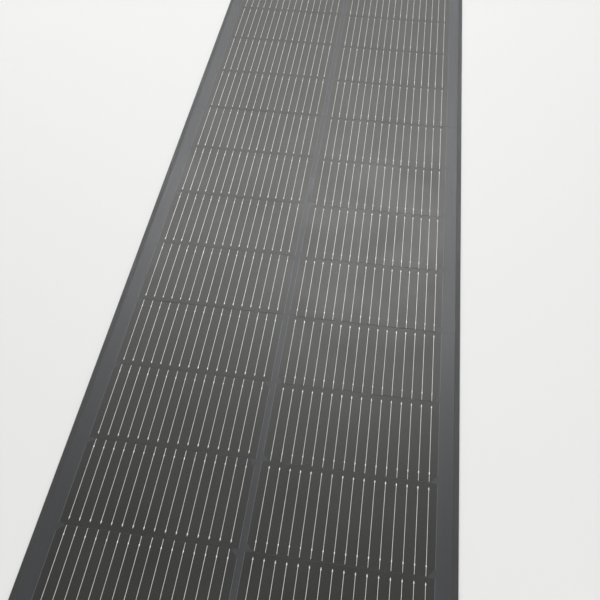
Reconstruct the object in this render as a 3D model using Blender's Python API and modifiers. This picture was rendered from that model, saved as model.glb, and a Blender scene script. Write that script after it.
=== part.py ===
"""Flexible solar sheet: a bendable laminate of two columns of half-cut silicon cells.

A plastic back sheet, two encapsulant layers and a clear front sheet hold the cells flat between them.
The laminate is split across its width into four lengths that bend at the gaps between cell rows.
A junction box with two cable glands is bonded on the front at the near end.

Metres, +X across the sheet, +Y along it towards the plain end, +Z out of the front face.
The origin is the middle of the back face.
"""

import math

import bmesh
import bpy

# Cells: half-cut pseudo-square wafers, in two columns
CELL_WIDTH = 0.182
CELL_HEIGHT = 0.091
CELL_CHAMFER = 0.0075
CELL_THICKNESS = 0.00018
COLUMN_GAP = 0.006
ROW_GAP = 0.0015
ROWS = 16
ROW_PITCH = CELL_HEIGHT + ROW_GAP
OUTER_WIRE_INSET = 0.00895

# Sheet outline
SHEET_WIDTH = 0.413
BOX_END_MARGIN = 0.100
PLAIN_END_MARGIN = 0.0315
CORNER_RADIUS = 0.012
EDGE_STEP = 0.003
SHEET_LENGTH = BOX_END_MARGIN + ROWS * ROW_PITCH - ROW_GAP + PLAIN_END_MARGIN
NEAR_END = -SHEET_LENGTH / 2
FAR_END = SHEET_LENGTH / 2
FIRST_CELL_EDGE = NEAR_END + BOX_END_MARGIN
LAST_CELL_EDGE = FAR_END - PLAIN_END_MARGIN

# Layers, from the back face up
LAYER_GAP = 0.00005
BACK_SHEET = 0.0010
REAR_ENCAPSULANT = 0.0006
POCKET_DEPTH = 0.00028
FRONT_ENCAPSULANT = 0.0004
FRONT_SHEET = 0.00025
POCKET_CLEARANCE = 0.0001

BACK_TOP = BACK_SHEET
REAR_BOTTOM = BACK_TOP + LAYER_GAP
REAR_TOP = REAR_BOTTOM + REAR_ENCAPSULANT
POCKET_FLOOR = REAR_TOP - POCKET_DEPTH
INLAY_BOTTOM = POCKET_FLOOR + LAYER_GAP
COVER_BOTTOM = REAR_TOP + LAYER_GAP
COVER_TOP = COVER_BOTTOM + FRONT_ENCAPSULANT
FRONT_BOTTOM = COVER_TOP + LAYER_GAP
FRONT_TOP = FRONT_BOTTOM + FRONT_SHEET

# The lengths that bend against each other
SEGMENTS = 4
ROWS_PER_SEGMENT = ROWS // SEGMENTS
BEND_CLEARANCE = 0.0009

# Flat tinned-copper ribbons at the ends of the cell strings
RIBBON_WIDTH = 0.005
RIBBON_THICKNESS = 0.00018
RIBBON_TO_CELL = 0.004
RIBBON_OVERRUN = 0.003
RIBBON_CLEARANCE = 0.0002
STRING_INNER = COLUMN_GAP / 2 + OUTER_WIRE_INSET - RIBBON_OVERRUN
STRING_OUTER = COLUMN_GAP / 2 + CELL_WIDTH - OUTER_WIRE_INSET + RIBBON_OVERRUN

# Junction box
BOX_WIDTH = 0.112
BOX_DEPTH = 0.062
BOX_HEIGHT = 0.0165
BOX_RADIUS = 0.007
BOX_WALL = 0.0025
BOX_FLOOR = 0.0025
BOX_FROM_CELLS = 0.014
BOX_Y = FIRST_CELL_EDGE - BOX_FROM_CELLS - BOX_DEPTH / 2
PAD_THICKNESS = 0.0008
PAD_INSET = 0.001
BOX_BOTTOM = FRONT_TOP + LAYER_GAP + PAD_THICKNESS + LAYER_GAP
BOX_INSIDE = BOX_BOTTOM + BOX_FLOOR
BOX_RIM = BOX_BOTTOM + BOX_HEIGHT
FIT_GAP = 0.0003

# Lid and its seal
SEAL_HEIGHT = 0.0010
SEAL_WIDTH = 0.0016
LID_THICKNESS = 0.0028
LID_LIP_DEPTH = 0.0020
LID_LIP_WIDTH = 0.0015
LID_BOTTOM = BOX_RIM + SEAL_HEIGHT + 2 * FIT_GAP

# Ribbon tails that rise through slots into the box
RISER_X = STRING_INNER + RIBBON_WIDTH / 2
RISER_Y = BOX_Y + 0.012
RISER_WIDTH = 0.0044
TAIL_BEYOND_RISER = 0.0010
RISER_TOP = BOX_INSIDE + 0.0045
SLOT_CLEARANCE = 0.0008

# Terminals and the bypass diode between them
TERMINAL_X = 0.013
TERMINAL_WIDTH = 0.018
TERMINAL_DEPTH = 0.018
TERMINAL_THICKNESS = 0.0010
TAB_WIDTH = 0.007
TAB_HEIGHT = 0.0065
NOTCH_WIDTH = 0.0017
DIODE_AXIS = BOX_INSIDE + 0.0040
DIODE_RADIUS = 0.0027
DIODE_LENGTH = 0.0095
LEAD_RADIUS = 0.0005
LEAD_REACH = 0.0165

# Cable glands in the box's near wall
GLAND_X = 0.030
GLAND_Z = BOX_INSIDE + 0.0065
GLAND_BORE = 0.0033
GLAND_SHANK = 0.0050
GLAND_NUT = 0.0078
GLAND_NUT_LENGTH = 0.0085
GLAND_DOME = 0.0058
GLAND_LENGTH = 0.0155
GLAND_INSIDE = 0.0012
GLAND_SIDES = 32

ARC_STEPS = 6


def clear_scene():
    for obj in list(bpy.data.objects):
        bpy.data.objects.remove(obj, do_unlink=True)


def make_collection(name):
    collection = bpy.data.collections.new(name)
    bpy.context.scene.collection.children.link(collection)
    return collection


clear_scene()
PARTS = make_collection("flexible_solar_sheet")
CUTTERS = make_collection("cutters")


# Materials


def make_material(name, colour, roughness, metallic=0.0, alpha=1.0):
    material = bpy.data.materials.new(name)
    material.use_nodes = True
    shader = material.node_tree.nodes["Principled BSDF"]
    shader.inputs["Base Color"].default_value = (*colour, 1.0)
    shader.inputs["Roughness"].default_value = roughness
    shader.inputs["Metallic"].default_value = metallic
    shader.inputs["Alpha"].default_value = alpha
    return material


FRONT_FILM = make_material("clear_front_sheet", (0.30, 0.31, 0.33), 0.55, alpha=0.25)
ENCAPSULANT = make_material("clear_encapsulant", (0.45, 0.46, 0.46), 0.3, alpha=0.35)
SILICON = make_material("silicon_cell", (0.022, 0.023, 0.026), 0.4)
BACKING = make_material("dark_back_sheet", (0.040, 0.044, 0.052), 0.6)
TINNED_COPPER = make_material("tinned_copper", (0.62, 0.62, 0.60), 0.35, metallic=1.0)
BOX_PLASTIC = make_material("black_box_plastic", (0.018, 0.018, 0.019), 0.5)
GLAND_PLASTIC = make_material("black_gland_plastic", (0.022, 0.022, 0.023), 0.4)
SEAL_RUBBER = make_material("seal_rubber", (0.030, 0.030, 0.030), 0.8)
ADHESIVE = make_material("white_adhesive", (0.50, 0.50, 0.48), 0.7)
DIODE_BODY = make_material("diode_body", (0.012, 0.012, 0.012), 0.45)


# Outlines in the X-Y plane


def rectangle(x0, y0, x1, y1):
    return [(x0, y0), (x1, y0), (x1, y1), (x0, y1)]


def rounded_rectangle(x0, y0, x1, y1, near_radius, far_radius):
    """A closed outline whose near corners (low y) and far corners each have their own radius."""
    corners = (
        (x1, y0, -1, 1, near_radius, -90),
        (x1, y1, -1, -1, far_radius, 0),
        (x0, y1, 1, -1, far_radius, 90),
        (x0, y0, 1, 1, near_radius, 180),
    )
    points = []
    for x, y, inward_x, inward_y, radius, start in corners:
        if radius == 0:
            points.append((x, y))
            continue
        for step in range(ARC_STEPS + 1):
            angle = math.radians(start + 90 * step / ARC_STEPS)
            centre_x = x + inward_x * radius
            centre_y = y + inward_y * radius
            points.append((centre_x + radius * math.cos(angle), centre_y + radius * math.sin(angle)))
    return points


def centred_outline(width, depth, radius):
    return rounded_rectangle(
        -width / 2, BOX_Y - depth / 2, width / 2, BOX_Y + depth / 2, radius, radius
    )


def half_cell_outline(grow=0.0):
    """Half a pseudo-square wafer around its centre, with the two cut corners on its far side."""
    x = CELL_WIDTH / 2 + grow
    y = CELL_HEIGHT / 2 + grow
    return [
        (-x, -y),
        (x, -y),
        (x, y - CELL_CHAMFER),
        (x - CELL_CHAMFER, y),
        (-x + CELL_CHAMFER, y),
        (-x, y - CELL_CHAMFER),
    ]


def cell_centre(side, row):
    """Centre of a cell; side is -1 for the left column and 1 for the right, rows count from 0."""
    x = side * (COLUMN_GAP + CELL_WIDTH) / 2
    y = FIRST_CELL_EDGE + row * ROW_PITCH + CELL_HEIGHT / 2
    return x, y


def placed_cell_outline(side, row):
    """The pocket outline for a cell, turned half a turn in the right column."""
    x, y = cell_centre(side, row)
    return [(x - side * px, y - side * py) for px, py in half_cell_outline(POCKET_CLEARANCE)]


def bus_outline(side, grow=0.0):
    """An L: a strip along the end of one cell column and a tail towards the junction box."""
    strip_far = FIRST_CELL_EDGE - RIBBON_TO_CELL + grow
    strip_near = strip_far - RIBBON_WIDTH - 2 * grow
    tail_near = RISER_Y - TAIL_BEYOND_RISER - grow
    inner = STRING_INNER - grow
    tail_outer = STRING_INNER + RIBBON_WIDTH + grow
    strip_outer = STRING_OUTER + grow
    points = [
        (inner, strip_far),
        (inner, tail_near),
        (tail_outer, tail_near),
        (tail_outer, strip_near),
        (strip_outer, strip_near),
        (strip_outer, strip_far),
    ]
    return [(side * x, y) for x, y in points]


def link_outline(grow=0.0):
    near = LAST_CELL_EDGE + RIBBON_TO_CELL - grow
    far = near + RIBBON_WIDTH + 2 * grow
    return rectangle(-STRING_OUTER - grow, near, STRING_OUTER + grow, far)


def riser_slot(side):
    """The slot that one ribbon tail rises through."""
    half_width = RISER_WIDTH / 2 + SLOT_CLEARANCE
    half_depth = RIBBON_THICKNESS / 2 + SLOT_CLEARANCE
    x = side * RISER_X
    return rectangle(x - half_width, RISER_Y - half_depth, x + half_width, RISER_Y + half_depth)


def riser_slots():
    return [riser_slot(side) for side in (-1, 1)]


# Solids


def plate_mesh(name, outlines, thickness):
    """A flat plate around z = 0. An outline inside another one is a hole."""
    curve = bpy.data.curves.new(name, "CURVE")
    curve.dimensions = "2D"
    curve.fill_mode = "BOTH"
    curve.extrude = thickness / 2
    for outline in outlines:
        spline = curve.splines.new("POLY")
        spline.points.add(len(outline) - 1)
        for point, (x, y) in zip(spline.points, outline):
            point.co = (x, y, 0.0, 1.0)
        spline.use_cyclic_u = True
    holder = bpy.data.objects.new(name, curve)
    bpy.context.scene.collection.objects.link(holder)
    graph = bpy.context.evaluated_depsgraph_get()
    mesh = bpy.data.meshes.new_from_object(holder.evaluated_get(graph))
    bpy.data.objects.remove(holder, do_unlink=True)
    bm = bmesh.new()
    bm.from_mesh(mesh)
    bmesh.ops.remove_doubles(bm, verts=bm.verts, dist=0.00001)
    bmesh.ops.recalc_face_normals(bm, faces=bm.faces)
    bm.to_mesh(mesh)
    bm.free()
    mesh.name = name
    mesh.materials.clear()
    return mesh


def add_object(name, mesh, collection):
    obj = bpy.data.objects.new(name, mesh)
    collection.objects.link(obj)
    return obj


def add_plate(name, outlines, bottom, top, material):
    mesh = plate_mesh(name, outlines, top - bottom)
    mesh.materials.append(material)
    obj = add_object(name, mesh, PARTS)
    obj.location.z = (bottom + top) / 2
    return obj


def plate_cutter(name, outlines, bottom, top):
    cutter = add_object(name, plate_mesh(name, outlines, top - bottom), CUTTERS)
    cutter.location.z = (bottom + top) / 2
    hide_cutter(cutter)
    return cutter


def cylinder_cutter(name, radius, length, location):
    """A cylinder along Y."""
    mesh = bpy.data.meshes.new(name)
    bm = bmesh.new()
    bmesh.ops.create_cone(
        bm, cap_ends=True, segments=GLAND_SIDES, radius1=radius, radius2=radius, depth=length
    )
    bm.to_mesh(mesh)
    bm.free()
    cutter = add_object(name, mesh, CUTTERS)
    cutter.rotation_euler.x = math.pi / 2
    cutter.location = location
    hide_cutter(cutter)
    return cutter


def hide_cutter(cutter):
    cutter.hide_render = True
    cutter.display_type = "WIRE"


def apply_boolean(obj, other, operation):
    modifier = obj.modifiers.new(other.name, "BOOLEAN")
    modifier.operation = operation
    modifier.solver = "EXACT"
    modifier.object = other


def cut(obj, cutter):
    apply_boolean(obj, cutter, "DIFFERENCE")


def join(obj, other):
    apply_boolean(obj, other, "UNION")


def turned_piece(name, profile, material):
    """Turns a closed profile of (radius, height) points around its own Z axis."""
    mesh = bpy.data.meshes.new(name)
    vertices = [(radius, 0.0, height) for radius, height in profile]
    edges = [(i, (i + 1) % len(profile)) for i in range(len(profile))]
    mesh.from_pydata(vertices, edges, [])
    mesh.materials.append(material)
    obj = add_object(name, mesh, PARTS)
    screw = obj.modifiers.new("turn", "SCREW")
    screw.steps = GLAND_SIDES
    screw.render_steps = GLAND_SIDES
    screw.use_normal_calculate = True
    screw.merge_threshold = 0.0001
    return obj


# The laminate


def segment_span(index):
    """Near and far end of one bending length, counted from 0 at the box end."""
    near = NEAR_END
    far = FAR_END
    if index > 0:
        near = bend_line(index) + BEND_CLEARANCE / 2
    if index < SEGMENTS - 1:
        far = bend_line(index + 1) - BEND_CLEARANCE / 2
    return near, far


def bend_line(index):
    """Y of the row gap where length index meets the one before it."""
    return FIRST_CELL_EDGE + index * ROWS_PER_SEGMENT * ROW_PITCH - ROW_GAP / 2


def layer_outline(index, inset):
    """Outline of one layer of a bending length, rounded at the sheet's own corners only."""
    near, far = segment_span(index)
    near_radius = 0.0
    far_radius = 0.0
    if index == 0:
        near += inset
        near_radius = CORNER_RADIUS - inset
    if index == SEGMENTS - 1:
        far -= inset
        far_radius = CORNER_RADIUS - inset
    half_width = SHEET_WIDTH / 2 - inset
    return rounded_rectangle(-half_width, near, half_width, far, near_radius, far_radius)


def pocket_outlines(index):
    """Pockets for the cells and ribbons of one bending length."""
    outlines = []
    first_row = index * ROWS_PER_SEGMENT
    for row in range(first_row, first_row + ROWS_PER_SEGMENT):
        for side in (-1, 1):
            outlines.append(placed_cell_outline(side, row))
    if index == 0:
        outlines += [bus_outline(side, RIBBON_CLEARANCE) for side in (-1, 1)]
    if index == SEGMENTS - 1:
        outlines.append(link_outline(RIBBON_CLEARANCE))
    return outlines


def build_laminate_length(index):
    number = index + 1
    add_plate(f"back_sheet_{number}", [layer_outline(index, 0.0)], 0.0, BACK_TOP, BACKING)

    rear = add_plate(
        f"rear_encapsulant_{number}", [layer_outline(index, EDGE_STEP)], REAR_BOTTOM, REAR_TOP, ENCAPSULANT
    )
    pockets = plate_cutter(
        f"pockets_{number}", pocket_outlines(index), POCKET_FLOOR, REAR_TOP + POCKET_DEPTH
    )
    cut(rear, pockets)

    slots = riser_slots() if index == 0 else []
    add_plate(
        f"front_encapsulant_{number}",
        [layer_outline(index, EDGE_STEP), *slots],
        COVER_BOTTOM,
        COVER_TOP,
        ENCAPSULANT,
    )
    add_plate(
        f"front_sheet_{number}",
        [layer_outline(index, 2 * EDGE_STEP), *slots],
        FRONT_BOTTOM,
        FRONT_TOP,
        FRONT_FILM,
    )


def build_cells():
    """All cells share one mesh; those in the right column are turned half a turn."""
    mesh = plate_mesh("half_cell", [half_cell_outline()], CELL_THICKNESS)
    mesh.materials.append(SILICON)
    for side, column in ((-1, "left"), (1, "right")):
        for row in range(ROWS):
            x, y = cell_centre(side, row)
            cell = add_object(f"cell_{column}_{row + 1:02d}", mesh, PARTS)
            cell.location = (x, y, INLAY_BOTTOM + CELL_THICKNESS / 2)
            if side == 1:
                cell.rotation_euler.z = math.pi


def build_ribbons():
    top = INLAY_BOTTOM + RIBBON_THICKNESS
    add_plate("series_link_ribbon", [link_outline()], INLAY_BOTTOM, top, TINNED_COPPER)
    for side, name in ((-1, "left"), (1, "right")):
        ribbon = add_plate(f"bus_ribbon_{name}", [bus_outline(side)], INLAY_BOTTOM, top, TINNED_COPPER)
        x = side * RISER_X
        half_width = RISER_WIDTH / 2
        half_depth = RIBBON_THICKNESS / 2
        outline = rectangle(x - half_width, RISER_Y - half_depth, x + half_width, RISER_Y + half_depth)
        riser_bottom = INLAY_BOTTOM + RIBBON_THICKNESS / 2
        join(ribbon, plate_cutter(f"riser_{name}", [outline], riser_bottom, RISER_TOP))


# The junction box


def build_adhesive_pad():
    outline = centred_outline(BOX_WIDTH - 2 * PAD_INSET, BOX_DEPTH - 2 * PAD_INSET, BOX_RADIUS - PAD_INSET)
    bottom = FRONT_TOP + LAYER_GAP
    add_plate("box_adhesive_pad", [outline, *riser_slots()], bottom, bottom + PAD_THICKNESS, ADHESIVE)


def gland_place(side):
    """Where a gland's flange meets the outside of the box's near wall."""
    return side * GLAND_X, BOX_Y - BOX_DEPTH / 2, GLAND_Z


def build_box_base():
    outer = centred_outline(BOX_WIDTH, BOX_DEPTH, BOX_RADIUS)
    base = add_plate("junction_box_base", [outer], BOX_BOTTOM, BOX_RIM, BOX_PLASTIC)
    inner = centred_outline(BOX_WIDTH - 2 * BOX_WALL, BOX_DEPTH - 2 * BOX_WALL, BOX_RADIUS - BOX_WALL)
    cut(base, plate_cutter("box_cavity", [inner], BOX_INSIDE, BOX_RIM + BOX_WALL))
    cut(base, plate_cutter("box_floor_slots", riser_slots(), BOX_BOTTOM - BOX_FLOOR, BOX_INSIDE + BOX_FLOOR))
    for side, name in ((-1, "left"), (1, "right")):
        hole = cylinder_cutter(
            f"gland_hole_{name}", GLAND_SHANK + FIT_GAP, 4 * BOX_WALL, gland_place(side)
        )
        cut(base, hole)


def build_lid_and_seal():
    seal_outer = centred_outline(
        BOX_WIDTH - 2 * FIT_GAP, BOX_DEPTH - 2 * FIT_GAP, BOX_RADIUS - FIT_GAP
    )
    seal_inner = centred_outline(
        BOX_WIDTH - 2 * (FIT_GAP + SEAL_WIDTH),
        BOX_DEPTH - 2 * (FIT_GAP + SEAL_WIDTH),
        BOX_RADIUS - FIT_GAP - SEAL_WIDTH,
    )
    seal_bottom = BOX_RIM + FIT_GAP
    add_plate("lid_seal", [seal_outer, seal_inner], seal_bottom, seal_bottom + SEAL_HEIGHT, SEAL_RUBBER)

    outer = centred_outline(BOX_WIDTH, BOX_DEPTH, BOX_RADIUS)
    lid = add_plate(
        "junction_box_lid", [outer], LID_BOTTOM, LID_BOTTOM + LID_THICKNESS, BOX_PLASTIC
    )
    lip_inset = BOX_WALL + FIT_GAP
    lip_outer = centred_outline(
        BOX_WIDTH - 2 * lip_inset, BOX_DEPTH - 2 * lip_inset, BOX_RADIUS - lip_inset
    )
    lip_inset += LID_LIP_WIDTH
    lip_inner = centred_outline(
        BOX_WIDTH - 2 * lip_inset, BOX_DEPTH - 2 * lip_inset, BOX_RADIUS - lip_inset
    )
    lip_bottom = BOX_RIM - LID_LIP_DEPTH
    lip_top = LID_BOTTOM + LID_THICKNESS / 2
    join(lid, plate_cutter("lid_lip", [lip_outer, lip_inner], lip_bottom, lip_top))


def build_terminals():
    """Bent strips: a plate on the box floor and an upright tab with a notch for the diode's lead."""
    bottom = BOX_INSIDE + FIT_GAP
    for side, name in ((-1, "left"), (1, "right")):
        inner = side * TERMINAL_X
        outer = side * (TERMINAL_X + TERMINAL_WIDTH)
        plate = rectangle(
            min(inner, outer), BOX_Y - TERMINAL_DEPTH / 2, max(inner, outer), BOX_Y + TERMINAL_DEPTH / 2
        )
        terminal = add_plate(
            f"terminal_{name}", [plate], bottom, bottom + TERMINAL_THICKNESS, TINNED_COPPER
        )
        tab_outer = side * (TERMINAL_X + TERMINAL_THICKNESS)
        x0 = min(inner, tab_outer)
        x1 = max(inner, tab_outer)
        tab = rectangle(x0, BOX_Y - TAB_WIDTH / 2, x1, BOX_Y + TAB_WIDTH / 2)
        join(terminal, plate_cutter(f"tab_{name}", [tab], bottom, bottom + TAB_HEIGHT))
        notch = rectangle(
            x0 - FIT_GAP, BOX_Y - NOTCH_WIDTH / 2, x1 + FIT_GAP, BOX_Y + NOTCH_WIDTH / 2
        )
        notch_bottom = DIODE_AXIS - NOTCH_WIDTH / 2
        cut(terminal, plate_cutter(f"notch_{name}", [notch], notch_bottom, bottom + 2 * TAB_HEIGHT))


def build_diode():
    """An axial diode along X whose leads lie in the terminals' notches."""
    half = DIODE_LENGTH / 2
    mesh = bpy.data.meshes.new("bypass_diode")
    vertices = [
        (0.0, 0.0, LEAD_REACH),
        (LEAD_RADIUS, 0.0, LEAD_REACH),
        (LEAD_RADIUS, 0.0, half),
        (DIODE_RADIUS, 0.0, half),
        (DIODE_RADIUS, 0.0, -half),
        (LEAD_RADIUS, 0.0, -half),
        (LEAD_RADIUS, 0.0, -LEAD_REACH),
        (0.0, 0.0, -LEAD_REACH),
    ]
    mesh.from_pydata(vertices, [(i, i + 1) for i in range(len(vertices) - 1)], [])
    mesh.materials.append(DIODE_BODY)
    diode = add_object("bypass_diode", mesh, PARTS)
    screw = diode.modifiers.new("turn", "SCREW")
    screw.steps = GLAND_SIDES // 2
    screw.render_steps = GLAND_SIDES // 2
    screw.use_merge_vertices = True
    screw.merge_threshold = 0.00001
    diode.rotation_euler.y = math.pi / 2
    diode.location = (0.0, BOX_Y, DIODE_AXIS)


def build_glands():
    """Tubes that pass through the box's near wall, with a round nut and a dome outside."""
    inner_end = BOX_WALL + GLAND_INSIDE
    profile = [
        (GLAND_BORE, -inner_end),
        (GLAND_BORE, GLAND_LENGTH),
        (GLAND_DOME, GLAND_LENGTH),
        (GLAND_NUT, GLAND_NUT_LENGTH),
        (GLAND_NUT, FIT_GAP),
        (GLAND_SHANK, FIT_GAP),
        (GLAND_SHANK, -inner_end),
    ]
    for side, name in ((-1, "left"), (1, "right")):
        gland = turned_piece(f"cable_gland_{name}", profile, GLAND_PLASTIC)
        gland.rotation_euler.x = math.pi / 2
        gland.location = gland_place(side)


for length_index in range(SEGMENTS):
    build_laminate_length(length_index)
build_cells()
build_ribbons()
build_adhesive_pad()
build_box_base()
build_lid_and_seal()
build_terminals()
build_diode()
build_glands()
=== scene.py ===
"""Looks of the flexible solar sheet: laminate, cells, wires and junction box, and every material.

The floor, the lights and the camera come last.
"""

import math

import bmesh
import bpy
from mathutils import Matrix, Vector


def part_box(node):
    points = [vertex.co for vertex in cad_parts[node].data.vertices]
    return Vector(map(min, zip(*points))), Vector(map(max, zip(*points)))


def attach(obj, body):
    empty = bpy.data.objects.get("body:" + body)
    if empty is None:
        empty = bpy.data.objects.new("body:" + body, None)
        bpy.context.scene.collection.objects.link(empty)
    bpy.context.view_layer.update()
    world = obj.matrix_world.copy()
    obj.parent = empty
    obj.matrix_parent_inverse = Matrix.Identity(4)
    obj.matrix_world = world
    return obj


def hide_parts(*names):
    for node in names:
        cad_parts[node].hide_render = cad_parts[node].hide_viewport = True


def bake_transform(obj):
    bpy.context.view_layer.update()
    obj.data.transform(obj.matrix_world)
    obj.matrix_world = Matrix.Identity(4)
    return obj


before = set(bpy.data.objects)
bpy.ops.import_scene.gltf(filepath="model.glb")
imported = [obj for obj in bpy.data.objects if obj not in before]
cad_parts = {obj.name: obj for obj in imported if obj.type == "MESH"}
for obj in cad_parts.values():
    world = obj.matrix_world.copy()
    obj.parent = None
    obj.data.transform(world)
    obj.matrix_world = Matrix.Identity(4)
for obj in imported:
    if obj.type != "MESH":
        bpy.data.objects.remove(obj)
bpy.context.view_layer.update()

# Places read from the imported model
ROWS = 16
SHEET_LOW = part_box("back_sheet_1")[0]
SHEET_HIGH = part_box("back_sheet_4")[1]
CELL_LOW, CELL_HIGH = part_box("cell_left_01")
CELL_WIDTH = CELL_HIGH.x - CELL_LOW.x
CELL_LENGTH = CELL_HIGH.y - CELL_LOW.y
ROW_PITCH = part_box("cell_left_02")[0].y - CELL_LOW.y
FRONT_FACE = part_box("front_sheet_1")[1].z

# Laminate
CORNER_RADIUS = 0.012
CORNER_STEPS = 8
CLEAR_INSET = 0.0010
CLEAR_SLOPE = 0.0060
BED_SLOPE = 0.0006
BED_INSET = CLEAR_SLOPE - BED_SLOPE
RIM_THICKNESS = 0.00005
BACK_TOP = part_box("back_sheet_1")[1].z
BED_GAP = 0.00002
CLEAR_GAP = 0.00001
CELL_STANDS_PROUD = 0.00011
BED_BOTTOM = BACK_TOP + BED_GAP
BED_TOP = CELL_HIGH.z - CELL_STANDS_PROUD
CLEAR_BOTTOM = BED_TOP + CLEAR_GAP
BENDS_PER_ROW = 12
BEND_LENGTH = 0.080
FLAT_ANGLE = 4
THREAD_PITCH = 0.0011

# Cells
FINGER_PITCH = 0.0013
FINGER_SHARE = 0.09
# Width of the painted glint along each cell's cut sides
PAINTED_GLINT_WIDTH = 0.00050
GAP_SHADE_INSET = 0.0060

# Wires
WIRES_PER_CELL = 16
OUTER_WIRE_INSET = 0.00895
WIRE_WIDTH = 0.00050
WIRE_HEIGHT = 0.00024
WIRE_SIDES = 6
WIRE_START = 0.0044
START_DOT_INSET = 0.0020
EDGE_DOT_INSET = 0.0088
DOT_LENGTH = 0.0023
DOT_WIDTH = 0.0013
DOT_HEIGHT = 0.00038
DOT_SEGMENTS = 8
DOT_RINGS = 6
WIRE_SHADE_ANGLE = 80

# Where a wire leaves its cell: how far before the edge it starts to sink,
# then each y from the edge and how far it has sunk there
WIRE_STEP_DOWN = 0.0014
WIRE_DIPS = ((-0.0004, 0.00010), (0.0004, 0.00040))

# Where an end wire runs over the ribbon: y from the cell's edge
WIRE_OVER_RIBBON = (0.0030, 0.0088)
RIBBON_DOT = 0.0065

# Junction box
BOX_RADIUS = 0.007
BOX_WALL = 0.0025
BOX_FLOOR = 0.0025
FIT_GAP = 0.0003
FOOT_HEIGHT = 0.0024
RIM_HEIGHT = 0.0030
WALL_STEP = 0.0006
WALL_STEP_HEIGHT = 0.0004
SLOT_CLEARANCE = 0.0008
LID_EDGE = 0.0010
PANEL_INSET = 0.0042
PANEL_SLOPE = 0.0007
PANEL_DEPTH = 0.0005
LIP_WIDTH = 0.0015
NOTCH_RADIUS = 0.0016
NOTCH_LENGTH = 0.014
SEAL_WIDTH = 0.0016
PAD_INSET = 0.001
ROUND_STEPS = 8
TRAY_ROUNDING = 0.0004
LID_ROUNDING = 0.00015
SEAL_ROUNDING = 0.0003
BEAD_ROUNDING = 0.00035
ROUNDED_ANGLE = 40
SHADE_ANGLE = 35

# Bypass diode, along X from its middle
DIODE_HALF = 0.00475
LEAD_START = DIODE_HALF + 0.00005
BAND_START = DIODE_HALF - 0.0022
BAND_END = DIODE_HALF - 0.0010

# Cable glands
GLAND_SIDES = 36
GLAND_SHANK = 0.0050
GLAND_BORE = 0.0033
GLAND_FLANGE = 0.0012
GLAND_NECK = 0.0007
GLAND_NECK_INSET = 0.0010
GLAND_NUT_SETBACK = 0.0002
GLAND_GRIP = 0.0066
GLAND_ROUNDING = 0.00012
GLAND_ROUNDED_ANGLE = 38
GRIP_INSET = 0.0002
GRIP_DEPTH = 0.00035

# The dome, ring by ring: how far it rises and how much it narrows
GLAND_DOME = ((0.0004, 0.94), (0.0012, 0.93), (0.0018, 0.91), (0.0013, 0.90))

# Room: light from the walls and from overhead, and where the one fades into the other (1 is straight up)
WALL_GLOW = 0.61
OVERHEAD_GLOW = 0.08
FADE_START = 0.60
FADE_END = 1.00
FLOOR_SIZE = 30
FLOOR_DROP = 0.0004

# Camera
CAMERA_PLACE = (0.0888, -0.6031, 0.6682)
CAMERA_TURN = (35.907, 0.595, 8.216)
CAMERA_LENS = 40.43

# Sockets of a colour Mix node, which go by number, and the part of its range that a noise mostly fills
MIX_FIRST = 6
MIX_SECOND = 7
MIX_RESULT = 2
NOISE_LOW = 0.3
NOISE_HIGH = 0.7

# The smallest length that counts when faces and edges are told apart
TINY = 1e-6


# Mesh work


def deselect_all():
    bpy.ops.object.select_all(action="DESELECT")


def make_active(obj):
    deselect_all()
    obj.select_set(True)
    bpy.context.view_layer.objects.active = obj


def add_box(name, low, high):
    """A cube primitive that fills the space from low to high."""
    low, high = Vector(low), Vector(high)
    deselect_all()
    bpy.ops.mesh.primitive_cube_add(size=1, location=(low + high) / 2, scale=high - low)
    return named_and_applied(name)


def named_and_applied(name):
    """Names the active object and moves its place into its mesh."""
    obj = bpy.context.object
    obj.name = name
    obj.data.name = name
    bpy.ops.object.transform_apply(location=True, rotation=True, scale=True)
    return obj


def enter_edit(obj, mode="EDGE"):
    make_active(obj)
    bpy.ops.object.mode_set(mode="EDIT")
    bpy.ops.mesh.select_mode(type=mode)
    bpy.ops.mesh.select_all(action="DESELECT")


def leave_edit():
    bpy.ops.object.mode_set(mode="OBJECT")


def select_where(obj, kind, test):
    """In edit mode, selects the edges or faces that pass the test and nothing else."""
    mesh = bmesh.from_edit_mesh(obj.data)
    for face in mesh.faces:
        face.select_set(False)
    for edge in mesh.edges:
        edge.select_set(False)
    for item in getattr(mesh, kind):
        if test(item):
            item.select_set(True)
    bmesh.update_edit_mesh(obj.data)


def is_upright(edge):
    start, end = (vertex.co for vertex in edge.verts)
    return abs(start.x - end.x) < TINY and abs(start.y - end.y) < TINY


def shade_by_angle(obj, degrees):
    make_active(obj)
    bpy.ops.object.shade_smooth_by_angle(angle=math.radians(degrees))


def apply_modifier(obj, kind, **settings):
    make_active(obj)
    modifier = obj.modifiers.new(kind.lower(), kind)
    for name, value in settings.items():
        setattr(modifier, name, value)
    bpy.ops.object.modifier_apply(modifier=modifier.name)


def turn_outwards(obj):
    enter_edit(obj, "FACE")
    bpy.ops.mesh.select_all(action="SELECT")
    bpy.ops.mesh.normals_make_consistent(inside=False)
    leave_edit()


def own_copy(template, name):
    copy = template.copy()
    copy.data = template.data.copy()
    copy.name = name
    copy.data.name = name
    bpy.context.scene.collection.objects.link(copy)
    return copy


def remove_object(obj):
    bpy.data.objects.remove(obj, do_unlink=True)


# Shader work


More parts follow.
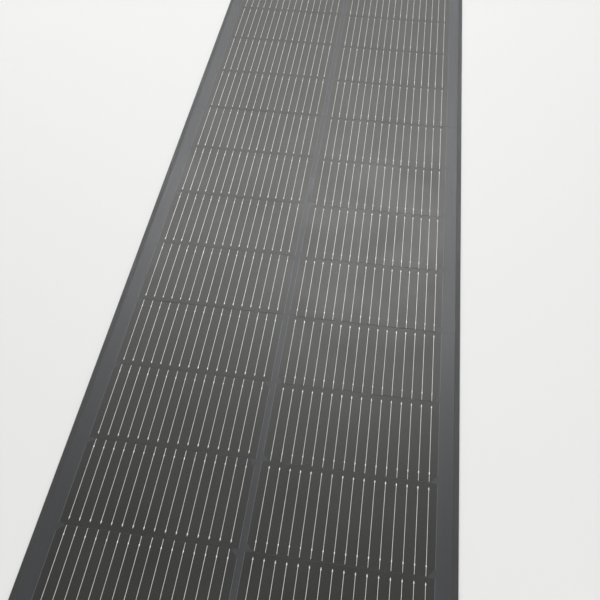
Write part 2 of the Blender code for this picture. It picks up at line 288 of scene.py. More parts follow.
class Signal:
    """A shader socket that takes part in arithmetic."""

    def __init__(self, work, socket):
        self.work = work
        self.socket = socket

    def math(self, operation, *values):
        return self.work.node("ShaderNodeMath", {"operation": operation}, dict(enumerate(values)))

    def __add__(self, other):
        return self.math("ADD", self, other)

    def __sub__(self, other):
        return self.math("SUBTRACT", self, other)

    def __rsub__(self, other):
        return self.math("SUBTRACT", other, self)

    def __mul__(self, other):
        return self.math("MULTIPLY", self, other)

    def __truediv__(self, other):
        return self.math("DIVIDE", self, other)

    __radd__ = __add__
    __rmul__ = __mul__

    def floor(self):
        return self.math("FLOOR", self)

    def fraction(self):
        return self.math("FRACT", self)

    def size(self):
        return self.math("ABSOLUTE", self)

    def sign(self):
        return self.math("SIGN", self)

    def sine(self):
        return self.math("SINE", self)

    def below(self, limit):
        return self.math("LESS_THAN", self, limit)

    def above(self, limit):
        return self.math("GREATER_THAN", self, limit)

    def most(self, other):
        return self.math("MAXIMUM", self, other)


class NodeWork:
    """A node tree of a material or the world, and the shader that its nodes feed."""

    def __init__(self, owner, shader):
        owner.use_nodes = True
        self.tree = owner.node_tree
        self.shader = self.tree.nodes[shader]

    def node(self, kind, settings, inputs, output=0):
        """Adds a node, sets it up, fills or links its sockets and returns one of its outputs."""
        made = self.tree.nodes.new(kind)
        for name, value in settings.items():
            setattr(made, name, value)
        for name, value in inputs.items():
            if isinstance(value, Signal):
                self.tree.links.new(value.socket, made.inputs[name])
            else:
                made.inputs[name].default_value = value
        return Signal(self, made.outputs[output])

    def mapped(self, signal, low, high, to_low, to_high):
        inputs = {
            "Value": signal, "From Min": low, "From Max": high, "To Min": to_low, "To Max": to_high
        }
        return self.node("ShaderNodeMapRange", {"clamp": True}, inputs, "Result")

    def drive(self, socket, signal):
        self.tree.links.new(signal.socket, self.shader.inputs[socket])


class Finish(NodeWork):
    """One material: a Principled shader with its constants set, and the nodes that vary it."""

    def __init__(self, name, colour, **constants):
        self.material = bpy.data.materials.new(name)
        super().__init__(self.material, "Principled BSDF")
        self.shader.inputs["Base Color"].default_value = (*colour, 1.0)
        self.colour = colour
        for socket, value in constants.items():
            self.shader.inputs[socket.replace("_", " ")].default_value = value
        self.place = self.node("ShaderNodeTexCoord", {}, {}, "Object")

    def noise(self, scale, detail=3.0, roughness=0.5, stretch=(1.0, 1.0, 1.0)):
        vector = self.node("ShaderNodeMapping", {}, {"Vector": self.place, "Scale": stretch})
        inputs = {"Vector": vector, "Scale": scale, "Detail": detail, "Roughness": roughness}
        return self.node("ShaderNodeTexNoise", {}, inputs, "Fac")

    def axis(self, name):
        """One coordinate of the piece, in metres."""
        return self.node("ShaderNodeSeparateXYZ", {}, {"Vector": self.place}, name)

    def mixed(self, factor, first, second, **settings):
        inputs = {"Factor": factor, MIX_FIRST: first, MIX_SECOND: second}
        return self.node("ShaderNodeMix", {"data_type": "RGBA", **settings}, inputs, MIX_RESULT)

    def toned(self, tone, darkest, lightest):
        """The finish's own colour, from darkest to lightest times itself."""
        return self.mixed(tone, scale_colour(self.colour, darkest), scale_colour(self.colour, lightest))

    def vary_roughness(self, noise, low, high):
        self.drive("Roughness", self.mapped(noise, NOISE_LOW, NOISE_HIGH, low, high))

    def bump(self, height, distance, strength=1.0):
        inputs = {"Height": height, "Distance": distance, "Strength": strength}
        self.drive("Normal", self.node("ShaderNodeBump", {}, inputs))


def scale_colour(colour, factor):
    return (*(channel * factor for channel in colour), 1.0)


# Finishes


def clear_front_finish():
    """Clear embossed film: a thin haze with a soft, slightly uneven sheen."""
    finish = Finish("matt_clear_film", (0.105, 0.108, 0.111), Roughness=0.46, Alpha=0.08, IOR=1.45)
    cloud = finish.noise(scale=3.0, detail=2.0, stretch=(1.6, 0.5, 1.0))
    grain = finish.noise(scale=900.0, detail=2.0, roughness=0.6)
    tone = finish.mapped(cloud, NOISE_LOW, NOISE_HIGH, 0.3, 0.7) + (grain - 0.5) * 0.3
    finish.drive("Base Color", finish.toned(tone, darkest=0.7, lightest=1.3))
    finish.vary_roughness(cloud, low=0.43, high=0.49)
    finish.bump(grain, distance=0.00004, strength=0.5)
    return finish.material


def inside_column(x):
    """How far inside the sides of the nearer column of cells a place lies."""
    return CELL_WIDTH / 2 - (x.size() + (CELL_LOW.x + CELL_HIGH.x) / 2).size()


def silicon_finish():
    """Near-black coated silicon: printed fingers, a painted glint along the cut sides, and a tone of its own
    for each cell.
    """
    silver_finger = (0.110, 0.110, 0.106, 1.0)
    painted_side_glint = (0.110, 0.112, 0.118, 1.0)
    finish = Finish(
        "coated_silicon", (0.0078, 0.0076, 0.0071), Roughness=0.42, IOR=1.5,
        Specular_Tint=(1.0, 1.0, 0.965, 1.0)
    )
    x = finish.axis("X")
    y = finish.axis("Y") - CELL_LOW.y
    row = (y / ROW_PITCH).floor()
    cell = finish.node("ShaderNodeCombineXYZ", {}, {"X": row, "Y": x.sign()}, "Vector")
    own_tone = finish.node(
        "ShaderNodeTexWhiteNoise", {"noise_dimensions": "2D"}, {"Vector": cell}, "Value"
    )
    cloud = finish.noise(scale=14.0, roughness=0.55)
    tone = finish.mapped(own_tone, 0.0, 1.0, 0.42, 0.58) + (cloud - 0.5) * 0.25
    on_finger = (y / FINGER_PITCH).fraction().below(FINGER_SHARE)
    # Painted glint: a thin band along the cut sides is drawn lighter, standing in for light caught by the
    # cut edges
    on_painted_glint = inside_column(x).below(PAINTED_GLINT_WIDTH)
    dark = finish.toned(tone, darkest=0.6, lightest=1.4)
    fingered = finish.mixed(on_finger * 0.5, dark, silver_finger)
    finish.drive("Base Color", finish.mixed(on_painted_glint * 0.8, fingered, painted_side_glint))
    finish.vary_roughness(cloud, low=0.38, high=0.46)
    finish.bump(finish.noise(scale=900.0, detail=2.0, roughness=0.6), distance=0.00003, strength=0.4)
    return finish.material


def bed_finish():
    """Blue-grey tinted encapsulant with faint streaks along the sheet, darker in the narrow row gaps."""
    gap_shade = (0.0085, 0.0084, 0.0082, 1.0)
    finish = Finish(
        "tinted_encapsulant", (0.0280, 0.0290, 0.0318), Roughness=0.40, IOR=1.5,
        Specular_Tint=(0.98, 0.992, 1.0, 1.0)
    )
    cloud = finish.noise(scale=9.0, detail=4.0, roughness=0.55, stretch=(1.0, 0.4, 1.0))
    streaks = finish.noise(scale=420.0, roughness=0.6, stretch=(1.0, 0.02, 1.0))
    open_bed = finish.toned(cloud * 0.5 + streaks * 0.5, darkest=0.6, lightest=1.4)
    y = finish.axis("Y")
    along_rows = y.above(CELL_LOW.y) * y.below(CELL_LOW.y + ROWS * ROW_PITCH)
    in_row_gap = inside_column(finish.axis("X")).above(GAP_SHADE_INSET) * along_rows
    finish.drive("Base Color", finish.mixed(in_row_gap * 0.65, open_bed, gap_shade))
    finish.vary_roughness(cloud, low=0.37, high=0.45)
    finish.bump(streaks, distance=0.00004, strength=0.4)
    return finish.material


def back_sheet_finish():
    """Glass-fibre laminate: dark resin over a fine plain weave."""
    finish = Finish("woven_back_sheet", (0.0235, 0.0240, 0.0225), Roughness=0.50, IOR=1.45)
    half_turn = math.pi / THREAD_PITCH
    weave = (finish.axis("X") * half_turn).sine() * (finish.axis("Y") * half_turn).sine()
    cloud = finish.noise(scale=12.0)
    tone = finish.mapped(weave, -1.0, 1.0, 0.4, 0.6) + (cloud - 0.5) * 0.3
    finish.drive("Base Color", finish.toned(tone, darkest=0.7, lightest=1.3))
    finish.vary_roughness(cloud, low=0.46, high=0.56)
    finish.bump(weave, distance=0.00002, strength=0.35)
    return finish.material


def metal_finish(name, base, roughness, metallic, stretch):
    """Tinned copper or solder, with fine streaks."""
    finish = Finish(name, base, Roughness=roughness, Metallic=metallic)
    streaks = finish.noise(scale=160.0, roughness=0.6, stretch=stretch)
    finish.drive("Base Color", finish.toned(streaks, darkest=0.86, lightest=1.08))
    finish.vary_roughness(streaks, low=roughness - 0.08, high=roughness + 0.10)
    return finish.material


def plastic_finish(name, base, roughness, grain_scale, grain_depth):
    """Black moulded plastic or rubber: fine spark texture, and a slightly worn, uneven sheen."""
    finish = Finish(name, base, Roughness=roughness)
    cloud = finish.noise(scale=30.0, detail=4.0, roughness=0.6)
    grain = finish.noise(scale=grain_scale, detail=2.0)
    finish.drive("Base Color", finish.toned(cloud * 0.6 + grain * 0.4, darkest=0.6, lightest=1.5))
    finish.vary_roughness(cloud, low=roughness - 0.06, high=roughness + 0.08)
    finish.bump(grain, distance=grain_depth, strength=0.6)
    return finish.material


def adhesive_finish():
    """White silicone adhesive, slightly yellowed and lumpy."""
    finish = Finish("white_adhesive", (0.56, 0.555, 0.53), Roughness=0.55)
    cloud = finish.noise(scale=60.0, detail=4.0, roughness=0.6)
    finish.drive("Base Color", finish.toned(cloud, darkest=0.85, lightest=1.1))
    finish.vary_roughness(cloud, low=0.45, high=0.65)
    finish.bump(cloud, distance=0.0003, strength=0.4)
    return finish.material


def diode_finish():
    """A black epoxy body with a silver band near one end, between two tinned leads."""
    epoxy = (0.014, 0.014, 0.015)
    silver = (0.72, 0.72, 0.70, 1.0)
    finish = Finish("banded_diode", epoxy, Roughness=0.4)
    x = finish.axis("X")
    on_lead = x.size().above(LEAD_START)
    on_band = x.above(BAND_START) * x.below(BAND_END)
    cloud = finish.noise(scale=400.0)
    colour = finish.mixed(on_lead.most(on_band), (*epoxy, 1.0), silver)
    shade = finish.mixed(cloud, (0.6, 0.6, 0.6, 1.0), (1.0, 1.0, 1.0, 1.0))
    finish.drive("Base Color", finish.mixed(1.0, colour, shade, blend_type="MULTIPLY"))
    finish.drive("Metallic", on_lead)
    finish.vary_roughness(cloud, low=0.32, high=0.5)
    return finish.material


CLEAR_FRONT = clear_front_finish()
SILICON = silicon_finish()
BED = bed_finish()
BACK_SHEET = back_sheet_finish()
WIRE_METAL = metal_finish("tinned_wire", (0.90, 0.895, 0.87), 0.36, 0.35, (1.0, 0.2, 1.0))
SOLDER = metal_finish("solder", (0.92, 0.92, 0.90), 0.30, 0.40, (1.0, 1.0, 1.0))
RIBBON_METAL = metal_finish("tinned_ribbon", (0.56, 0.56, 0.54), 0.40, 0.9, (1.0, 0.15, 1.0))
BOX_PLASTIC = plastic_finish("box_plastic", (0.018, 0.018, 0.019), 0.48, 1600.0, 0.00006)
GLAND_PLASTIC = plastic_finish("gland_plastic", (0.021, 0.021, 0.022), 0.40, 2400.0, 0.00003)
RUBBER = plastic_finish("seal_rubber", (0.030, 0.030, 0.030), 0.72, 900.0, 0.00005)
ADHESIVE = adhesive_finish()
DIODE_BODY = diode_finish()


# Lengths of the sheet: one with a single body follows it, one between two bodies is left where it lies


def row_gap(rows_before):
    """Y of the middle of the gap after that many rows."""
    near_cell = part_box(f"cell_left_{rows_before:02d}")
    far_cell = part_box(f"cell_left_{rows_before + 1:02d}")
    return (near_cell[1].y + far_cell[0].y) / 2


class Length:
    """A stretch of the sheet along Y, with the CAD segments it covers and the bodies it lies on; it follows
    a body only when it has just one.
    """

    def __init__(self, name, near, far, segments, bodies):
        self.name = name
        self.near = near
        self.far = far
        self.segments = segments
        self.bodies = bodies

    def holds(self, y):
        return self.near <= y <= self.far

    def attach(self, piece):
        if len(self.bodies) == 1:
            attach(piece, self.bodies[0])
            return
        bend = (self.near + self.far) / 2
        start = (0, bend - BEND_LENGTH / 2, 0)
        end = (0, bend + BEND_LENGTH / 2, 0)
        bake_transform(piece)


MID_1, MID_2, MID_3, MID_4 = (row_gap(rows) for rows in (2, 6, 10, 14))
LENGTHS = (
    Length("near_end", SHEET_LOW.y, MID_1, (1,), ("sheet_near",)),
    Length("near_bend", MID_1, MID_2, (1, 2), ("sheet_near", "sheet_mid_near")),
    Length("middle_bend", MID_2, MID_3, (2, 3), ("sheet_mid_near", "sheet_mid_far")),
    Length("far_bend", MID_3, MID_4, (3, 4), ("sheet_mid_far", "sheet_far")),
    Length("far_end", MID_4, SHEET_HIGH.y, (4,), ("sheet_far",)),
)


def length_at(y):
    return next(length for length in LENGTHS if length.holds(y))


# The laminate


def make_full_layer(name, bottom, top, inset, slope):
    """One layer over the whole sheet: rounded corners, and a rim that slopes down to a thin edge."""
    low = (SHEET_LOW.x + inset, SHEET_LOW.y + inset, bottom)
    high = (SHEET_HIGH.x - inset, SHEET_HIGH.y - inset, top)
    layer = add_box(name, low, high)
    enter_edit(layer)
    select_where(layer, "edges", is_upright)
    bpy.ops.mesh.bevel(offset=CORNER_RADIUS - inset, segments=CORNER_STEPS, affect="EDGES")
    if slope > 0:
        bpy.ops.mesh.select_mode(type="FACE")
        select_where(layer, "faces", lambda face: face.normal.z > 0.9)
        bpy.ops.mesh.inset(thickness=slope, depth=0)
        lower_rim(layer, bottom, top)
    divide_along(layer)
    leave_edit()
    return layer


def lower_rim(layer, bottom, top):
    """Brings the top's outer rim down, so that the ring inside it slopes."""
    mesh = bmesh.from_edit_mesh(layer.data)
    inner = next(face for face in mesh.faces if face.select)
    kept = set(inner.verts)
    for face in mesh.faces:
        face.select_set(False)
    for vertex in mesh.verts:
        vertex.select_set(vertex.co.z > top - TINY and vertex not in kept)
    bmesh.update_edit_mesh(layer.data)
    bpy.ops.mesh.select_mode(type="VERT")
    bpy.ops.transform.translate(value=(0, 0, bottom + RIM_THICKNESS - top))


def divide_along(layer):
    """Cuts the layer across at even steps."""
    first = CELL_LOW.y - (ROW_PITCH - CELL_LENGTH) / 2
    step = ROW_PITCH / BENDS_PER_ROW
    for index in range(ROWS * BENDS_PER_ROW + 1):
        bpy.ops.mesh.select_all(action="SELECT")
        bpy.ops.mesh.bisect(plane_co=(0, first + index * step, 0), plane_no=(0, 1, 0))


def cut_to_length(layer, length):
    """Keeps only what lies inside one length and closes the cut ends."""
    enter_edit(layer, "FACE")
    for y, is_end, direction in (
        (length.near, length is LENGTHS[0], -1),
        (length.far, length is LENGTHS[-1], 1),
    ):
        if is_end:
            continue
        bpy.ops.mesh.select_all(action="SELECT")
        bpy.ops.mesh.bisect(
            plane_co=(0, y, 0), plane_no=(0, direction, 0),
            clear_outer=True, use_fill=True, threshold=TINY
        )
    leave_edit()


def build_layer(name, nodes, bottom, top, inset, slope, material):
    """One layer, in five pieces that stand for the same lengths of the given CAD layers."""
    full = make_full_layer(name, bottom, top, inset, slope)
    full.data.materials.append(material)
    for length in LENGTHS:
        piece = own_copy(full, f"{name}_{length.name}")
        cut_to_length(piece, length)
        shade_by_angle(piece, FLAT_ANGLE)
        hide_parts(*(f"{node}_{segment}" for node in nodes for segment in length.segments))
        length.attach(piece)
    remove_object(full)


def build_laminate():
    build_layer(
        "back_sheet_skin", ["back_sheet"], SHEET_LOW.z, BACK_TOP, 0.0, 0.0, BACK_SHEET
    )
    build_layer(
        "cell_bed", ["rear_encapsulant"], BED_BOTTOM, BED_TOP, BED_INSET, BED_SLOPE, BED
    )
    build_layer(
        "clear_front", ["front_encapsulant", "front_sheet"], CLEAR_BOTTOM, FRONT_FACE,
        CLEAR_INSET, CLEAR_SLOPE, CLEAR_FRONT
    )


# Cells and wires


def make_cell():
    """A half wafer at the origin: cut corners on its far side, divided along Y."""
    thickness = CELL_HIGH.z - CELL_LOW.z
    low = (-CELL_WIDTH / 2, -CELL_LENGTH / 2, 0)
    high = (CELL_WIDTH / 2, CELL_LENGTH / 2, thickness)
    cell = add_box("half_wafer", low, high)
    chamfer = cut_corner_size()
    enter_edit(cell)
    select_where(cell, "edges", lambda edge: is_upright(edge) and edge.verts[0].co.y > 0)
    bpy.ops.mesh.bevel(offset=chamfer, segments=1, affect="EDGES")
    for index in range(1, BENDS_PER_ROW):
        y = -CELL_LENGTH / 2 + CELL_LENGTH * index / BENDS_PER_ROW
        bpy.ops.mesh.select_all(action="SELECT")
        bpy.ops.mesh.bisect(plane_co=(0, y, 0), plane_no=(0, 1, 0))
    leave_edit()
    cell.data.materials.append(SILICON)
    shade_by_angle(cell, FLAT_ANGLE)
    return cell


def cut_corner_size():
    """How far the CAD cell's far edge stops short of its sides."""
    corners = [vertex.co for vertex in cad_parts["cell_left_01"].data.vertices]
    return CELL_HIGH.x - max(corner.x for corner in corners if corner.y > CELL_HIGH.y - TINY)


def make_wire(name, stations):
    """One flattened round wire through (y, z) stations."""
    first_y, first_z = stations[0]
    deselect_all()
    bpy.ops.mesh.primitive_circle_add(
        vertices=WIRE_SIDES, radius=1, fill_type="NGON", rotation=(math.pi / 2, 0, 0),
        location=(0, first_y, first_z)
    )
    wire = bpy.context.object
    wire.scale = (WIRE_WIDTH / 2, WIRE_HEIGHT / 2, 1)
    wire = named_and_applied(name)
    enter_edit(wire, "FACE")
    bpy.ops.mesh.select_all(action="SELECT")
    for (y0, z0), (y1, z1) in zip(stations, stations[1:]):
        bpy.ops.mesh.extrude_region_move(TRANSFORM_OT_translate={"value": (0, y1 - y0, z1 - z0)})
    leave_edit()
    turn_outwards(wire)
    wire.data.materials.append(WIRE_METAL)
    shade_by_angle(wire, WIRE_SHADE_ANGLE)
    return wire


def make_dot(y, z):
    """A flattened blob of solder on a wire."""
    deselect_all()
    bpy.ops.mesh.primitive_uv_sphere_add(
        segments=DOT_SEGMENTS, ring_count=DOT_RINGS, radius=0.5, location=(0, y, z),
        scale=(DOT_WIDTH, DOT_LENGTH, DOT_HEIGHT)
    )
    dot = named_and_applied("solder_dot")
    bpy.ops.object.shade_smooth()
    dot.data.materials.append(SOLDER)
    return dot


def join_into(first, others):
    deselect_all()
    for obj in others:
        obj.select_set(True)
    first.select_set(True)
    bpy.context.view_layer.objects.active = first
    bpy.ops.object.join()
    return first


def make_wire_set(name, overruns_ribbon):
    """All wires of one cell at the origin. They start near one edge and leave over the far edge."""
    on_cell = CELL_HIGH.z - CELL_LOW.z + WIRE_HEIGHT / 2
    edge = CELL_LENGTH / 2
    start = WIRE_START - edge
    stations = [(start, on_cell)]
    for index in range(1, BENDS_PER_ROW):
        stations.append((CELL_LENGTH * index / BENDS_PER_ROW - edge, on_cell))
    stations.append((edge - WIRE_STEP_DOWN, on_cell))
    dot_places = [start + START_DOT_INSET, edge - EDGE_DOT_INSET]
    if overruns_ribbon:
        stations += [(edge + beyond, on_cell) for beyond in WIRE_OVER_RIBBON]
        dot_places.append(edge + RIBBON_DOT)
    else:
        stations += [(edge + beyond, on_cell - dip) for beyond, dip in WIRE_DIPS]
    wire = make_wire(name, stations)
    wire = join_into(wire, [make_dot(y, on_cell) for y in dot_places])
    spacing = (CELL_WIDTH - 2 * OUTER_WIRE_INSET) / (WIRES_PER_CELL - 1)
    apply_modifier(
        wire, "ARRAY", count=WIRES_PER_CELL, use_relative_offset=False,
        use_constant_offset=True, constant_offset_displace=(spacing, 0, 0)
    )
    wire.location.x = -CELL_WIDTH / 2 + OUTER_WIRE_INSET
    make_active(wire)
    bpy.ops.object.transform_apply(location=True, rotation=False, scale=False)
    return wire


def place_on_cell(template, name, node, turned):
    """A copy of a piece made at the origin, put where a CAD cell lies."""
    low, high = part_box(node)
    piece = own_copy(template, name)
    piece.location = ((low.x + high.x) / 2, (low.y + high.y) / 2, low.z)
    piece.rotation_euler.z = math.pi if turned else 0.0
    make_active(piece)
    bpy.ops.object.transform_apply(location=True, rotation=True, scale=True)
    return piece


def build_cells():
    cell_template = make_cell()
    wires_template = make_wire_set("wire_set", False)
    end_wires_template = make_wire_set("end_wire_set", True)
    for column in ("left", "right"):
        for row in range(1, ROWS + 1):
            node = f"cell_{column}_{row:02d}"
            turned = column == "right"
            at_string_end = row == (1 if turned else ROWS)
            wires = end_wires_template if at_string_end else wires_template
            low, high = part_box(node)
            length = length_at((low.y + high.y) / 2)
            cell = place_on_cell(cell_template, f"wafer_{column}_{row:02d}", node, turned)
            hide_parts(node)
            length.attach(cell)
            wire_set = place_on_cell(wires, f"wires_{column}_{row:02d}", node, turned)
            length.attach(wire_set)
    for template in (cell_template, wires_template, end_wires_template):
        remove_object(template)


def dress_node(node, material):
    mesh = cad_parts[node].data
    mesh.materials.clear()
    mesh.materials.append(material)


def dress_metal_strips():
    dress_node("series_link_ribbon", RIBBON_METAL)
    for side in ("left", "right"):
        dress_node(f"bus_ribbon_{side}", RIBBON_METAL)
        dress_node(f"terminal_{side}", RIBBON_METAL)


# The junction box


def is_level(edge, height):
    return all(abs(vertex.co.z - height) < TINY for vertex in edge.verts)


def faces_level(face, height, up):
    return face.normal.z * up > 0.9 and abs(face.calc_center_median().z - height) < TINY


def add_rounded_block(name, low, high, radius):
    block = add_box(name, low, high)
    enter_edit(block)
    select_where(block, "edges", is_upright)
    bpy.ops.mesh.bevel(offset=radius, segments=ROUND_STEPS, affect="EDGES")
    leave_edit()
    return block


def extrude_selected(distance):
    bpy.ops.mesh.extrude_region_move(TRANSFORM_OT_translate={"value": (0, 0, distance)})


def soften_edges(piece, width, degrees=ROUNDED_ANGLE):
    """Rounds every edge that turns by more than an angle."""
    apply_modifier(
        piece, "BEVEL", width=width, segments=2, limit_method="ANGLE", angle_limit=math.radians(degrees),
        use_clamp_overlap=True
    )
    shade_by_angle(piece, degrees)


def subtract(piece, cutter):
    apply_modifier(piece, "BOOLEAN", operation="DIFFERENCE", object=cutter, solver="EXACT")
    remove_object(cutter)


def add_rod(name, place, radius, length, axis, sides=32):
    turn = {"X": (0, math.pi / 2, 0), "Y": (math.pi / 2, 0, 0), "Z": (0, 0, 0)}[axis]
    deselect_all()
    bpy.ops.mesh.primitive_cylinder_add(
        vertices=sides, radius=radius, depth=length, location=place, rotation=turn
    )
    return named_and_applied(name)


def build_box_base():
    """An open moulded tray with a foot, side grooves, gland holes and slots in its floor for the ribbons."""
    low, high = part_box("junction_box_base")
    base = add_rounded_block("box_tray", low, high, BOX_RADIUS)
    add_foot_and_groove(base, low, high)
    enter_edit(base, "FACE")
    select_where(base, "faces", lambda face: faces_level(face, high.z, 1))
    bpy.ops.mesh.inset(thickness=BOX_WALL, depth=0)
    extrude_selected(low.z + BOX_FLOOR - high.z)
    leave_edit()
    soften_edges(base, TRAY_ROUNDING)
    for side in ("left", "right"):
        gland_low, gland_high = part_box(f"cable_gland_{side}")
        place = ((gland_low.x + gland_high.x) / 2, low.y, (gland_low.z + gland_high.z) / 2)
        subtract(base, add_rod("gland_hole", place, GLAND_SHANK + FIT_GAP, 4 * BOX_WALL, "Y"))
        subtract(base, riser_slot_cutter(side, low.z))
    finish_box_piece(base, BOX_PLASTIC, "junction_box_base", "sheet_near")


def add_foot_and_groove(base, low, high):
    """Draws the walls in above a foot and below the rim, each in one shallow step."""
    foot_top = low.z + FOOT_HEIGHT
    rim_bottom = high.z - RIM_HEIGHT
    lower = foot_top + WALL_STEP_HEIGHT
    upper = rim_bottom - WALL_STEP_HEIGHT
    for height in (foot_top, lower, upper, rim_bottom):
        enter_edit(base, "FACE")
        bpy.ops.mesh.select_all(action="SELECT")
        bpy.ops.mesh.bisect(plane_co=(0, 0, height), plane_no=(0, 0, 1))
        leave_edit()
    enter_edit(base, "FACE")
    select_where(
        base, "faces",
        lambda face: abs(face.normal.z) < 0.1 and lower < face.calc_center_median().z < upper
    )
    width, depth = high.x - low.x, high.y - low.y
    bpy.ops.transform.resize(
        value=(1 - 2 * WALL_STEP / width, 1 - 2 * WALL_STEP / depth, 1),
        center_override=tuple((low + high) / 2)
    )
    leave_edit()


def riser_slot_cutter(side, floor):
    """A block round the stretch of a bus ribbon that rises through the floor at this height."""
    corners = [vertex.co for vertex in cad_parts[f"bus_ribbon_{side}"].data.vertices]
    riser = [corner for corner in corners if corner.z > floor]
    low = Vector(min(point[axis] for point in riser) for axis in range(3))
    high = Vector(max(point[axis] for point in riser) for axis in range(3))
    gap = Vector((SLOT_CLEARANCE, SLOT_CLEARANCE, 0))
    low.z, high.z = floor - BOX_FLOOR, floor + 2 * BOX_FLOOR
    return add_box("riser_slot", low - gap, high + gap)


def finish_box_piece(piece, material, node, body):
    piece.data.materials.clear()
    piece.data.materials.append(material)
    shade_by_angle(piece, SHADE_ANGLE)
    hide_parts(node)
    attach(piece, body)


def build_lid():
    """A snap-on lid: rounded rim, sunken panel, pry notches at its ends, a lip inside the tray."""
    low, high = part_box("junction_box_lid")
    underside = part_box("lid_seal")[1].z + FIT_GAP
    lid = add_rounded_block("box_lid", (low.x, low.y, underside), high, BOX_RADIUS)
    enter_edit(lid)
    select_where(lid, "edges", lambda edge: is_level(edge, high.z))
    bpy.ops.mesh.bevel(offset=LID_EDGE, segments=3, affect="EDGES")
    bpy.ops.mesh.select_mode(type="FACE")
    select_where(lid, "faces", lambda face: faces_level(face, high.z, 1))
    bpy.ops.mesh.inset(thickness=PANEL_INSET, depth=0)
    bpy.ops.mesh.inset(thickness=PANEL_SLOPE, depth=-PANEL_DEPTH)
    add_lip(lid, underside, low.z)
    leave_edit()
    soften_edges(lid, LID_ROUNDING)
    for edge in (low.x, high.x):
        place = (edge, (low.y + high.y) / 2, underside)
        subtract(lid, add_rod("pry_notch", place, NOTCH_RADIUS, NOTCH_LENGTH, "Y"))
    finish_box_piece(lid, BOX_PLASTIC, "junction_box_lid", "lid")


def add_lip(lid, underside, lip_end):
    select_where(lid, "faces", lambda face: faces_level(face, underside, -1))
    bpy.ops.mesh.inset(thickness=BOX_WALL + FIT_GAP, depth=0)
    inner_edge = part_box("junction_box_lid")[1].x - BOX_WALL - FIT_GAP - LIP_WIDTH
    bpy.ops.mesh.inset(thickness=LIP_WIDTH, depth=0)
    select_where(
        lid, "faces",
        lambda face: faces_level(face, underside, -1) and is_lip_face(face, inner_edge)
    )
    extrude_selected(lip_end - underside)


def is_lip_face(face, inner_edge):
    """True for the ring of faces that the second inset made."""
    reach = max(abs(vertex.co.x) for vertex in face.verts)
    outer = inner_edge + LIP_WIDTH
    return reach < outer + 10 * TINY and len(face.verts) == 4


def build_seal():
    low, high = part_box("lid_seal")
    seal = add_rounded_block("lid_gasket", low, high, BOX_RADIUS - FIT_GAP)
    enter_edit(seal, "FACE")
    select_where(seal, "faces", lambda face: abs(face.normal.z) > 0.9)
    bpy.ops.mesh.inset(thickness=SEAL_WIDTH, depth=0)
    bpy.ops.mesh.bridge_edge_loops()
    leave_edit()
    soften_edges(seal, SEAL_ROUNDING)
    finish_box_piece(seal, RUBBER, "lid_seal", "sheet_near")


def build_adhesive():
    """The bead of adhesive under the tray, rounded where it was pressed out."""
    low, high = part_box("box_adhesive_pad")
    pad = add_rounded_block("adhesive_bead", low, high, BOX_RADIUS - PAD_INSET)
    enter_edit(pad)
    select_where(pad, "edges", lambda edge: is_level(edge, low.z) or is_level(edge, high.z))
    bpy.ops.mesh.bevel(offset=BEAD_ROUNDING, segments=3, affect="EDGES")
    leave_edit()
    for side in ("left", "right"):
        subtract(pad, riser_slot_cutter(side, low.z))
    finish_box_piece(pad, ADHESIVE, "box_adhesive_pad", "sheet_near")


def build_gland(side):
    """A cable gland along Z at the origin, then laid down in the box's near wall."""
    low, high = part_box(f"cable_gland_{side}")
    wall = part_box("junction_box_base")[0].y
    radius = (high.x - low.x) / 2
    gland = add_rod(f"gland_{side}", (0, 0, GLAND_FLANGE / 2), radius, GLAND_FLANGE, "Z", GLAND_SIDES)
    enter_edit(gland, "FACE")
    select_where(gland, "faces", lambda face: faces_level(face, GLAND_FLANGE, 1))
    bpy.ops.mesh.inset(thickness=GLAND_NECK_INSET, depth=0)
    extrude_selected(GLAND_NECK)
    widen_selected((radius - GLAND_NUT_SETBACK) / (radius - GLAND_NECK_INSET))
    extrude_selected(GLAND_GRIP)
    for rise, ratio in GLAND_DOME:
        extrude_selected(rise)
        scale_selected(ratio)
    leave_edit()
    finish_gland_ends(gland, wall - low.y, high.y - wall)
    press_grips(gland)
    soften_edges(gland, GLAND_ROUNDING, GLAND_ROUNDED_ANGLE)
    gland.rotation_euler.x = math.pi / 2
    gland.location = ((low.x + high.x) / 2, wall, (low.z + high.z) / 2)
    make_active(gland)
    bpy.ops.object.transform_apply(location=True, rotation=True, scale=True)
    finish_box_piece(gland, GLAND_PLASTIC, f"cable_gland_{side}", "sheet_near")


def selected_centre():
    mesh = bmesh.from_edit_mesh(bpy.context.edit_object.data)
    faces = [face for face in mesh.faces if face.select]
    return tuple(sum((face.calc_center_median() for face in faces), Vector()) / len(faces))


def scale_selected(ratio):
    bpy.ops.transform.resize(value=(ratio, ratio, 1), center_override=selected_centre())


def widen_selected(ratio):
    """A flat step outwards from the selected end face."""
    extrude_selected(0)
    scale_selected(ratio)


def finish_gland_ends(gland, outside_length, inside_length):
    """Brings the dome to its length, adds the shank and opens the bore from end to end."""
    enter_edit(gland, "FACE")
    select_where(gland, "faces", lambda face: face.normal.z > 0.9 and len(face.verts) == GLAND_SIDES)
    top = selected_centre()[2]
    extrude_selected(outside_length - top)
    mouth = outer_reach()
    bpy.ops.mesh.inset(thickness=mouth - GLAND_BORE, depth=0)
    select_where(gland, "faces", lambda face: face.normal.z < -0.9 and len(face.verts) == GLAND_SIDES)
    bpy.ops.mesh.inset(thickness=outer_reach() - GLAND_SHANK, depth=0)
    extrude_selected(-inside_length)
    bpy.ops.mesh.inset(thickness=GLAND_SHANK - GLAND_BORE, depth=0)
    select_where(gland, "faces", lambda face: len(face.verts) == GLAND_SIDES)
    bpy.ops.mesh.bridge_edge_loops()
    leave_edit()


def outer_reach():
    """How far the selected face's corners lie from the Z axis."""
    mesh = bmesh.from_edit_mesh(bpy.context.edit_object.data)
    return max(vertex.co.xy.length for vertex in mesh.verts if vertex.select)


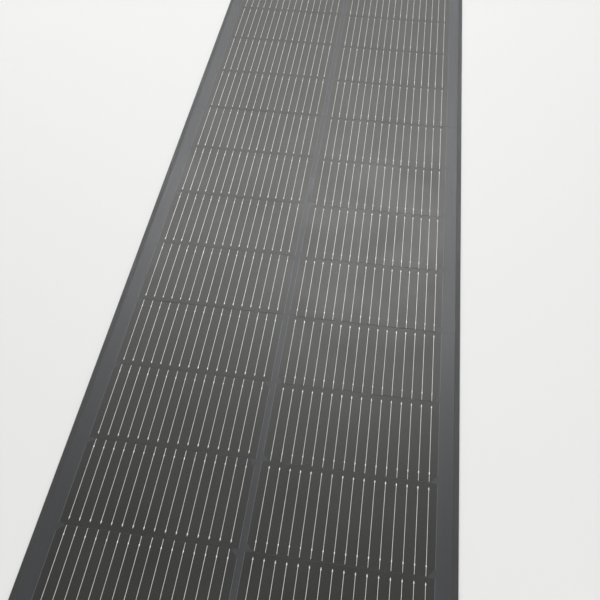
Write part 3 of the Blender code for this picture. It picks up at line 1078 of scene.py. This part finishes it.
def press_grips(gland):
    """Sinks every other side face of the nut, for the fingers."""
    enter_edit(gland, "FACE")
    middle = GLAND_FLANGE + GLAND_NECK + GLAND_GRIP / 2
    step = 2 * math.pi / GLAND_SIDES

    def is_grip(face):
        centre = face.calc_center_median()
        if abs(centre.z - middle) > GLAND_GRIP / 4 or centre.xy.length < GLAND_SHANK:
            return False
        return round(math.atan2(centre.y, centre.x) / step - 0.5) % 2 == 0

    select_where(gland, "faces", is_grip)
    bpy.ops.mesh.inset(thickness=GRIP_INSET, depth=-GRIP_DEPTH, use_individual=True)
    leave_edit()


def build_junction_box():
    build_box_base()
    build_lid()
    build_seal()
    build_adhesive()
    build_gland("left")
    build_gland("right")
    dress_node("bypass_diode", DIODE_BODY)


# Floor, lights and camera


def build_stage():
    deselect_all()
    bpy.ops.mesh.primitive_plane_add(size=FLOOR_SIZE, location=(0, 0, -FLOOR_DROP))
    floor = named_and_applied("floor")
    finish = Finish("pale_floor", (0.635, 0.635, 0.63), Roughness=0.6)
    floor.data.materials.append(finish.material)


def build_world():
    """Even white light from all round, weaker straight overhead than towards the walls."""
    world = bpy.data.worlds.new("studio")
    sky = NodeWork(world, "Background")
    sky.shader.inputs["Color"].default_value = (1.0, 1.0, 1.0, 1.0)
    direction = sky.node("ShaderNodeTexCoord", {}, {}, "Generated")
    height = sky.node("ShaderNodeSeparateXYZ", {}, {"Vector": direction}, "Z")
    sky.drive("Strength", sky.mapped(height, FADE_START, FADE_END, WALL_GLOW, OVERHEAD_GLOW))
    bpy.context.scene.world = world


def add_area_light(name, location, target, size, power):
    light = bpy.data.lights.new(name, "AREA")
    light.shape = "RECTANGLE"
    light.size, light.size_y = size
    light.energy = power
    obj = bpy.data.objects.new(name, light)
    bpy.context.scene.collection.objects.link(obj)
    obj.location = location
    obj.rotation_euler = (Vector(target) - Vector(location)).to_track_quat("-Z", "Y").to_euler()


def build_lights():
    add_area_light("ceiling_panel", (0.26, 3.1, 3.8), (0, -0.1, 0), (2.0, 1.6), 109)
    add_area_light("side_window", (-2.2, 3.0, 3.0), (0, 0.0, 0), (2.0, 1.5), 70)
    add_area_light("far_window", (-0.2, 4.8, 2.6), (0, 0.3, 0), (3.0, 1.0), 22)
    add_area_light("room_fill", (1.6, -2.6, 3.0), (0.2, -0.4, 0), (2.0, 2.0), 82)


def build_camera():
    camera = bpy.data.cameras.new("camera")
    camera.lens = CAMERA_LENS
    camera.sensor_width = 36.0
    camera.clip_start = 0.01
    obj = bpy.data.objects.new("camera", camera)
    bpy.context.scene.collection.objects.link(obj)
    obj.location = CAMERA_PLACE
    obj.rotation_euler = [math.radians(angle) for angle in CAMERA_TURN]
    bpy.context.scene.camera = obj


build_laminate()
build_cells()
dress_metal_strips()
build_junction_box()
build_stage()
build_world()
build_lights()
build_camera()
bpy.context.scene.view_settings.view_transform = "Standard"
